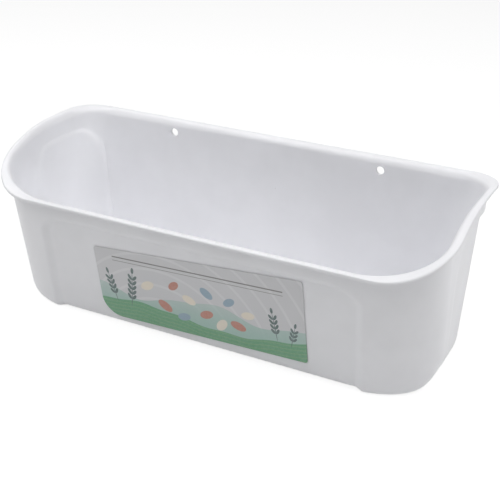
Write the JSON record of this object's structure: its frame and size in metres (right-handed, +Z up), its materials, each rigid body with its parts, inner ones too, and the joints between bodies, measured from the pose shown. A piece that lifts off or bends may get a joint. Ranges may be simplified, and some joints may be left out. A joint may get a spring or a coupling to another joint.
{
  "type": "hanging feed trough",
  "caption": "Open moulded plastic feed trough for poultry, low in front and high at the back, with a flared rim and screw holes for hanging on a wall.",
  "frame": {"origin": "middle of the trough's box at its underside", "axes": "+X along the trough to the right seen from the front, -Y to the low front, +Y to the back wall that hangs, +Z up"},
  "size_m": [0.3412, 0.1356, 0.1174],
  "materials": {
    "moulded_plastic": "satin",
    "printed_film": "satin print"
  },
  "bodies": {
    "root": {"trough": "moulded_plastic", "label": "printed_film"}
  },
  "joints": []
}
